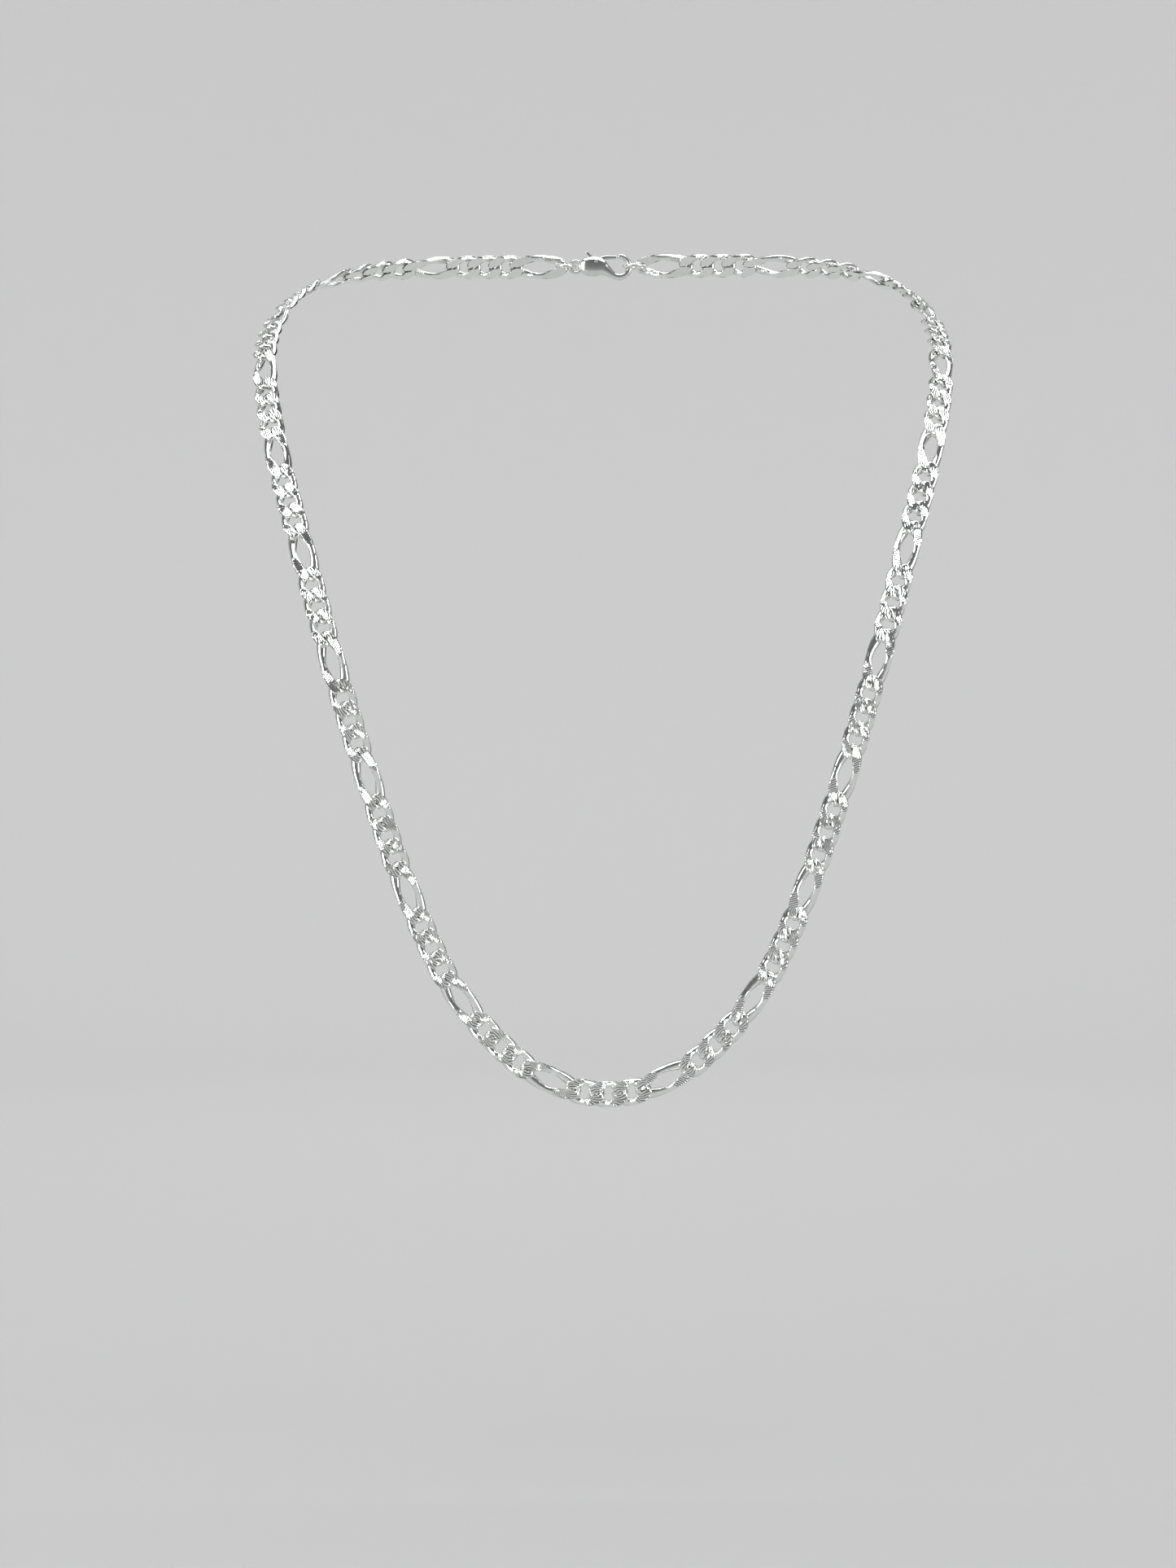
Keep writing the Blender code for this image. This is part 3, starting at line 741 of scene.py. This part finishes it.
def build_ring_tree():
    """A round ring of round wire, with an optional cut through it."""
    tree = bpy.data.node_groups.new("wire_ring", "GeometryNodeTree")
    tree.interface.new_socket("Geometry", in_out="INPUT", socket_type="NodeSocketGeometry")
    tree.interface.new_socket("Geometry", in_out="OUTPUT", socket_type="NodeSocketGeometry")
    for name in CUT_RING:
        tree.interface.new_socket(name, in_out="INPUT", socket_type="NodeSocketFloat")
    tree.interface.new_socket("Material", in_out="INPUT", socket_type="NodeSocketMaterial")
    given = add_node(tree, "NodeGroupInput").outputs
    middle = add_node(
        tree, "ShaderNodeMath", {0: given["Outer"], 1: given["Wire"]}, operation="SUBTRACT"
    )
    radius = add_node(tree, "ShaderNodeMath", {0: middle, 1: 0.5}, operation="MULTIPLY")
    circle = add_node(
        tree, "GeometryNodeCurvePrimitiveCircle", {"Resolution": 96, "Radius": radius}
    )
    length = add_node(tree, "GeometryNodeCurveLength", {"Curve": circle})
    kept = add_node(
        tree, "ShaderNodeMath", {0: length, 1: given["Cut"]}, operation="SUBTRACT"
    )
    opened = add_node(tree, "GeometryNodeTrimCurve", {"Curve": circle}, mode="LENGTH")
    end = next(s for s in opened.inputs if s.enabled and s.name == "End")
    tree.links.new(kept.outputs[0], end)
    is_cut = add_node(
        tree, "FunctionNodeCompare", {0: given["Cut"], 1: 0.0}, data_type="FLOAT",
        operation="GREATER_THAN",
    )
    path = add_node(
        tree, "GeometryNodeSwitch", {"Switch": is_cut, "False": circle, "True": opened},
        input_type="GEOMETRY",
    )
    path = add_node(tree, "GeometryNodeSetCurveNormal", {"Curve": path}, mode="Z_UP")
    wire_radius = add_node(
        tree, "ShaderNodeMath", {0: given["Wire"], 1: 0.5}, operation="MULTIPLY"
    )
    wire = add_node(
        tree, "GeometryNodeCurvePrimitiveCircle", {"Resolution": 24, "Radius": wire_radius}
    )
    tube = add_node(
        tree, "GeometryNodeCurveToMesh", {"Curve": path, "Profile Curve": wire, "Fill Caps": True}
    )
    real = add_node(tree, "GeometryNodeRealizeInstances", {0: tube})
    done = add_node(
        tree, "GeometryNodeSetMaterial", {"Geometry": real, "Material": given["Material"]}
    )
    add_node(tree, "NodeGroupOutput", {0: done})
    return tree


RING_TREE = build_ring_tree()


def turn_faces_out(mesh, crease=math.radians(40)):
    """Merge doubles, turn every face outwards and keep only the real edges sharp."""
    shape = bmesh.new()
    shape.from_mesh(mesh)
    bmesh.ops.remove_doubles(shape, verts=shape.verts, dist=1e-6)
    bmesh.ops.recalc_face_normals(shape, faces=shape.faces)
    for face in shape.faces:
        face.smooth = True
    for edge in shape.edges:
        edge.smooth = len(edge.link_faces) == 2 and edge.calc_face_angle() < crease
    shape.to_mesh(mesh)
    shape.free()


def make_ring(name, node, sizes, centre_x, cut_angle):
    """Rings stand across the chain, edge on to the neck."""
    piece = shape_with(RING_TREE, name, bpy.data.meshes.new(name), sizes, TUMBLED_SILVER)
    stand = Matrix.Rotation(math.pi / 2, 4, "X") @ Matrix.Rotation(cut_angle, 4, "Z")
    piece.data.transform(CLASP_FRAME @ Matrix.Translation((centre_x, 0, 0)) @ stand)
    turn_faces_out(piece.data)
    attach(piece, "shoulder_strands")
    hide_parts(node)


jump_ring_start = -LAST_JOINT - RING_REACH - CUT_RING["Wire"]
jump_ring_x = jump_ring_start + CUT_RING["Outer"] / 2
end_ring_end = LAST_JOINT + RING_REACH + SOLDERED_RING["Wire"]
end_ring_x = end_ring_end - SOLDERED_RING["Outer"] / 2
make_ring("cut_ring", "clasp_jump_ring", CUT_RING, jump_ring_x, CUT_TURN)
make_ring("soldered_ring", "end_ring", SOLDERED_RING, end_ring_x, 0.0)


# ---------------------------------------------------------------------------------------------
# Clasp body: a cast lobster claw in sterling silver. One piece of metal runs from the eye, through
# the thick part that is slotted for the lever, and tapers into the hook that curls back to it.
CLASP_GAP = 0.3 * MM
EYE_RADIUS = 1.8 * MM
EYE_BAR = 0.9 * MM
HOOK_RADIUS = 2.4 * MM
HOOK_BAR = 1.5 * MM
EYE_X = jump_ring_start + CUT_RING["Outer"] - CUT_RING["Wire"] - CLASP_GAP - EYE_BAR + EYE_RADIUS
HOOK_X = (
    end_ring_end - SOLDERED_RING["Outer"] + SOLDERED_RING["Wire"]
    + CLASP_GAP + HOOK_BAR / 2 - HOOK_RADIUS
)
BLOCK_X = EYE_X + EYE_RADIUS - 0.7 * MM
PIVOT = Vector((BLOCK_X + 3.6 * MM, 1.1 * MM, 0))
ROUNDED_END = [(0.0, 1.0), (0.24, 0.92), (0.42, 0.72), (0.5, 0.45)]  # pushed out, shrunk
CAST_EDGE = math.radians(34)


def loft(name, rings, material):
    """A closed skin over a row of rings, with a cap on each end."""
    shape = bmesh.new()
    rows = [[shape.verts.new(point) for point in ring] for ring in rings]
    count = len(rows[0])
    for a, b in zip(rows, rows[1:]):
        for i in range(count):
            shape.faces.new((a[i], a[(i + 1) % count], b[(i + 1) % count], b[i]))
    shape.faces.new(rows[0][::-1])
    shape.faces.new(rows[-1])
    mesh = bpy.data.meshes.new(name)
    shape.to_mesh(mesh)
    shape.free()
    mesh.materials.append(material)
    turn_faces_out(mesh)
    piece = bpy.data.objects.new(name, mesh)
    bpy.context.scene.collection.objects.link(piece)
    return piece


def swept_claw(
    name, stations, material, fullness=2.6, around=36, steps=5, round_ends=(True, True)
):
    """A bar along a flat curve. Stations are x, y, half width and half thickness in mm."""
    rows = [Vector(station) for station in stations]
    rows = [2 * rows[0] - rows[1], *rows, 2 * rows[-1] - rows[-2]]
    fine = []
    for i in range(1, len(rows) - 2):
        fine += [smooth_step(*rows[i - 1 : i + 3], step / steps) for step in range(steps)]
    fine.append(rows[-2])
    rings = []
    for i, (x, y, half_width, half_thickness) in enumerate(fine):
        before, after = fine[max(i - 1, 0)], fine[min(i + 1, len(fine) - 1)]
        along = Vector((after[0] - before[0], after[1] - before[1], 0)).normalized()
        across = Vector((-along.y, along.x, 0))
        caps = [(0.0, 1.0)]
        if i == 0 and round_ends[0]:
            caps = [(-push, shrink) for push, shrink in ROUNDED_END[::-1]]
        if i == len(fine) - 1 and round_ends[1]:
            caps = ROUNDED_END
        for push, shrink in caps:
            ring = []
            for k in range(around):
                angle = 2 * math.pi * k / around
                c, s = math.cos(angle), math.sin(angle)
                u = math.copysign(abs(c) ** (2 / fullness), c) * half_width * shrink
                w = math.copysign(abs(s) ** (2 / fullness), s) * half_thickness * shrink
                middle = Vector((x, y, 0)) + along * push * half_width
                ring.append((middle + across * u + Vector((0, 0, w))) * MM)
            rings.append(ring)
    return loft(name, rings, material)


def spun_pin(name, radii, material, around=32):
    """A round pin along z: each row is height and radius in millimetres."""
    turns = [2 * math.pi * k / around for k in range(around)]
    rings = [
        [Vector((radius * math.cos(turn), radius * math.sin(turn), height)) * MM for turn in turns]
        for height, radius in radii
    ]
    return loft(name, rings, material)


def combine(piece, other, operation):
    """Add one shape to a piece or cut it away, for good."""
    modifier = piece.modifiers.new(other.name, "BOOLEAN")
    modifier.operation = operation
    modifier.solver = "EXACT"
    modifier.object = other
    bpy.context.view_layer.update()
    graph = bpy.context.evaluated_depsgraph_get()
    made = bpy.data.meshes.new_from_object(piece.evaluated_get(graph))
    piece.modifiers.clear()
    piece.data = made
    bpy.data.objects.remove(other, do_unlink=True)


eye_x, hook_x, block_x = EYE_X / MM, HOOK_X / MM, BLOCK_X / MM
claw_stations = [
    (eye_x + 1.05, 0.0, 0.85, 0.72), (block_x + 0.35, 0.02, 1.55, 1.0),
    (block_x + 1.1, 0.05, 2.05, 1.25), (block_x + 2.3, 0.08, 2.3, 1.4),
    (block_x + 3.8, 0.05, 2.3, 1.4), (block_x + 5.0, -0.25, 1.95, 1.38),
    (block_x + 5.9, -0.8, 1.42, 1.3), (block_x + 6.75, -1.38, 1.05, 1.25),
]
for i in range(14):  # the hook, slimmer and thinner towards its end
    angle = math.radians(-122 + 16.4 * i)
    claw_stations.append(
        (
            hook_x + 2.4 * math.cos(angle), 2.4 * math.sin(angle),
            0.8 - 0.014 * i, 1.2 - 0.02 * i,
        )
    )
claw = swept_claw("lobster_claw", claw_stations, TUMBLED_SILVER)
eye = shape_with(
    RING_TREE, "eye", bpy.data.meshes.new("eye"),
    {"Outer": 2 * EYE_RADIUS, "Wire": EYE_BAR, "Cut": 0.0}, TUMBLED_SILVER,
)
eye.data.transform(Matrix.Translation((EYE_X, 0, 0)) @ Matrix.Diagonal((1, 1, 1.55, 1)))
turn_faces_out(eye.data)
combine(claw, eye, "UNION")
slot = swept_claw(
    "lever_slot",
    [
        (block_x + 2.4, 0.9, 1.7, 0.68), (block_x + 4.0, 1.1, 1.75, 0.68),
        (block_x + 7.0, 2.2, 1.9, 0.68),
    ],
    TUMBLED_SILVER, fullness=9, steps=2, round_ends=(False, False),
)
combine(claw, slot, "DIFFERENCE")
pin_hole = spun_pin("pin_hole", [(-3.0, 0.36), (3.0, 0.36)], TUMBLED_SILVER)
pin_hole.data.transform(Matrix.Translation(PIVOT))
combine(claw, pin_hole, "DIFFERENCE")
claw.data.transform(CLASP_FRAME)
turn_faces_out(claw.data, CAST_EDGE)
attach(claw, "shoulder_strands")
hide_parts("clasp_body")


# ---------------------------------------------------------------------------------------------
# Lever: the clasp's gate, stamped from sheet silver and rounded over. It turns on the pin; its
# thumb tab stands up out of the slot and its far end closes the hook.
GATE_GAP = 0.2 * MM
hook_end = math.radians(95)
tip_x = (HOOK_X + HOOK_RADIUS * math.cos(hook_end) - GATE_GAP) / MM
pivot_x, pivot_y = PIVOT.x / MM, PIVOT.y / MM
lever = swept_claw(
    "lever",
    [
        (pivot_x - 2.2, pivot_y + 2.18, 0.36, 0.5), (pivot_x - 1.6, pivot_y + 1.58, 0.4, 0.5),
        (pivot_x - 0.75, pivot_y + 0.65, 0.7, 0.5), (pivot_x, pivot_y + 0.05, 0.9, 0.5),
        (pivot_x + 1.0, pivot_y + 0.45, 0.72, 0.5), (pivot_x + 2.3, pivot_y + 1.0, 0.52, 0.5),
        (tip_x - 1.0, 2.13, 0.46, 0.5), (tip_x - 0.2, 2.15, 0.42, 0.46),
    ],
    TUMBLED_SILVER, fullness=3.4, around=32,
)
lever_hole = spun_pin("lever_hole", [(-3.0, 0.4), (3.0, 0.4)], TUMBLED_SILVER)
lever_hole.data.transform(Matrix.Translation(PIVOT))
combine(lever, lever_hole, "DIFFERENCE")
lever.data.transform(CLASP_FRAME)
turn_faces_out(lever.data, CAST_EDGE)
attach(lever, "clasp_gate")
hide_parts("clasp_lever")


# ---------------------------------------------------------------------------------------------
# Pin and spring: a stainless pin, riveted over at both ends, and a small coil of stainless wire
# that stands on the floor of the slot and pushes the lever shut.
STEEL = "#b9babb"
COIL = {"Radius": 0.42 * MM, "Wire": 0.2 * MM, "Height": 1.5 * MM, "Turns": 4.0}
COIL_FOOT = -0.6 * MM  # on the floor of the slot
COIL_FROM_PIVOT = 1.5 * MM

# Drawn stainless steel: greyer than the silver, with fine lines along the way it was drawn.
DRAWN_STEEL, tree, shader = new_material("drawn_stainless_steel")
place = add_node(tree, "ShaderNodeTexCoord").outputs["Object"]
die_lines = add_node(
    tree, "ShaderNodeMapping", {"Vector": place, "Scale": (6000, 400, 6000)}
)
die_lines = add_node(tree, "ShaderNodeTexNoise", {"Vector": die_lines, "Scale": 1.0})
die_bump = add_node(
    tree, "ShaderNodeBump",
    {"Height": die_lines.outputs["Fac"], "Distance": 0.008 * MM, "Strength": 0.5},
)
gloss = add_node(
    tree, "ShaderNodeMapRange", {"Value": die_lines.outputs["Fac"], "To Min": 0.2, "To Max": 0.38}
)
tree.links.new(gloss.outputs[0], shader.inputs["Roughness"])
tree.links.new(die_bump.outputs["Normal"], shader.inputs["Normal"])
shader.inputs["Base Color"].default_value = linear(STEEL)
shader.inputs["Metallic"].default_value = 1.0

pin = spun_pin(
    "riveted_pin",
    [
        (-1.4, 0.12), (-1.39, 0.24), (-1.34, 0.33), (-1.26, 0.35), (-0.6, 0.35), (0.6, 0.35),
        (1.26, 0.35), (1.34, 0.33), (1.39, 0.24), (1.4, 0.12),
    ],
    DRAWN_STEEL,
)
pin.data.transform(CLASP_FRAME @ Matrix.Translation(PIVOT))
turn_faces_out(pin.data)
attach(pin, "shoulder_strands")
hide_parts("lever_pin")


def build_coil_tree():
    """A compression spring: a spiral of round wire."""
    tree = bpy.data.node_groups.new("spring_coil", "GeometryNodeTree")
    tree.interface.new_socket("Geometry", in_out="INPUT", socket_type="NodeSocketGeometry")
    tree.interface.new_socket("Geometry", in_out="OUTPUT", socket_type="NodeSocketGeometry")
    for name in COIL:
        tree.interface.new_socket(name, in_out="INPUT", socket_type="NodeSocketFloat")
    tree.interface.new_socket("Material", in_out="INPUT", socket_type="NodeSocketMaterial")
    given = add_node(tree, "NodeGroupInput").outputs
    spiral = add_node(
        tree, "GeometryNodeCurveSpiral",
        {
            "Resolution": 24, "Rotations": given["Turns"], "Start Radius": given["Radius"],
            "End Radius": given["Radius"], "Height": given["Height"],
        },
    )
    wire_radius = add_node(
        tree, "ShaderNodeMath", {0: given["Wire"], 1: 0.5}, operation="MULTIPLY"
    )
    wire = add_node(
        tree, "GeometryNodeCurvePrimitiveCircle", {"Resolution": 12, "Radius": wire_radius}
    )
    tube = add_node(
        tree, "GeometryNodeCurveToMesh",
        {"Curve": spiral, "Profile Curve": wire, "Fill Caps": True},
    )
    real = add_node(tree, "GeometryNodeRealizeInstances", {0: tube})
    done = add_node(
        tree, "GeometryNodeSetMaterial", {"Geometry": real, "Material": given["Material"]}
    )
    add_node(tree, "NodeGroupOutput", {0: done})
    return tree


coil = shape_with(
    build_coil_tree(), "coil_spring", bpy.data.meshes.new("coil_spring"), COIL, DRAWN_STEEL
)
coil_place = Matrix.Translation((PIVOT.x + COIL_FROM_PIVOT, COIL_FOOT, 0))
coil.data.transform(CLASP_FRAME @ coil_place @ Matrix.Rotation(-math.pi / 2, 4, "X"))
turn_faces_out(coil.data)
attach(coil, "shoulder_strands")
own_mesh(coil)
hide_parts("lever_spring")


# ---------------------------------------------------------------------------------------------
# Floor and light: a round table of pale paper whose rim curves up into a wall all the way round,
# a big soft light on each side, one above and one on the far wall.
PAPER = "#c2c2c2"
FLOOR_HEIGHT = -0.261
TABLE_RADIUS = 0.9
RIM_RADIUS = 1.1
RIM_STEPS = 24
WALL_TOP = 2.6
SIDES = 96

PAPER_BOARD, tree, shader = new_material("matt_white_paper")
place = add_node(tree, "ShaderNodeTexCoord").outputs["Object"]
fibres = add_node(tree, "ShaderNodeTexNoise", {"Vector": place, "Scale": 700.0, "Detail": 4.0})
paper_bump = add_node(
    tree, "ShaderNodeBump",
    {"Height": fibres.outputs["Fac"], "Distance": 0.05 * MM, "Strength": 0.4},
)
tree.links.new(paper_bump.outputs["Normal"], shader.inputs["Normal"])
shader.inputs["Base Color"].default_value = linear(PAPER)
shader.inputs["Roughness"].default_value = 0.9

profile = [(0.05, FLOOR_HEIGHT), (TABLE_RADIUS, FLOOR_HEIGHT)]
for i in range(1, RIM_STEPS + 1):
    angle = math.pi / 2 * i / RIM_STEPS
    out, up = RIM_RADIUS * math.sin(angle), RIM_RADIUS * (1 - math.cos(angle))
    profile.append((TABLE_RADIUS + out, FLOOR_HEIGHT + up))
profile.append((TABLE_RADIUS + RIM_RADIUS, WALL_TOP))
sweep = bmesh.new()
rows = []
turns = [2 * math.pi * k / SIDES for k in range(SIDES)]
for radius, height in profile:
    places = [(radius * math.cos(turn), radius * math.sin(turn), height) for turn in turns]
    rows.append([sweep.verts.new(place) for place in places])
sweep.faces.new(rows[0])
for inner, outer in zip(rows, rows[1:]):
    for k in range(SIDES):
        n = (k + 1) % SIDES
        sweep.faces.new((inner[k], outer[k], outer[n], inner[n])).smooth = True
sweep_mesh = bpy.data.meshes.new("paper_sweep")
sweep.to_mesh(sweep_mesh)
sweep.free()
sweep_mesh.materials.append(PAPER_BOARD)
floor = bpy.data.objects.new("paper_sweep", sweep_mesh)
bpy.context.scene.collection.objects.link(floor)


def add_soft_light(name, place, target, size, power):
    """A softbox at a place, turned to a target, with its size in metres and power in watts."""
    data = bpy.data.lights.new(name, "AREA")
    data.shape = "RECTANGLE"
    data.size, data.size_y = size
    data.energy = power
    light = bpy.data.objects.new(name, data)
    light.location = place
    light.rotation_euler = (Vector(target) - Vector(place)).to_track_quat("-Z", "Y").to_euler()
    bpy.context.scene.collection.objects.link(light)


MIDDLE = (0.0, -0.05, -0.1)
ROOM = "#d4d6d8"
ROOM_STRENGTH = 0.15
add_soft_light("light_left", (-0.9, -0.75, 0.15), MIDDLE, (0.7, 1.1), 9.0)
add_soft_light("light_right", (0.9, -0.7, 0.1), MIDDLE, (0.7, 1.1), 7.0)
add_soft_light("light_above", (0.0, -0.25, 1.0), MIDDLE, (1.2, 0.9), 9.0)
add_soft_light("light_on_backdrop", (0.0, 0.6, 1.1), (0.0, 1.9, 0.0), (2.4, 0.6), 19.0)
world = bpy.data.worlds.new("studio_room")
world.use_nodes = True
background = world.node_tree.nodes["Background"]
background.inputs["Color"].default_value = linear(ROOM)
background.inputs["Strength"].default_value = ROOM_STRENGTH
bpy.context.scene.world = world
bpy.context.scene.view_settings.view_transform = "Standard"
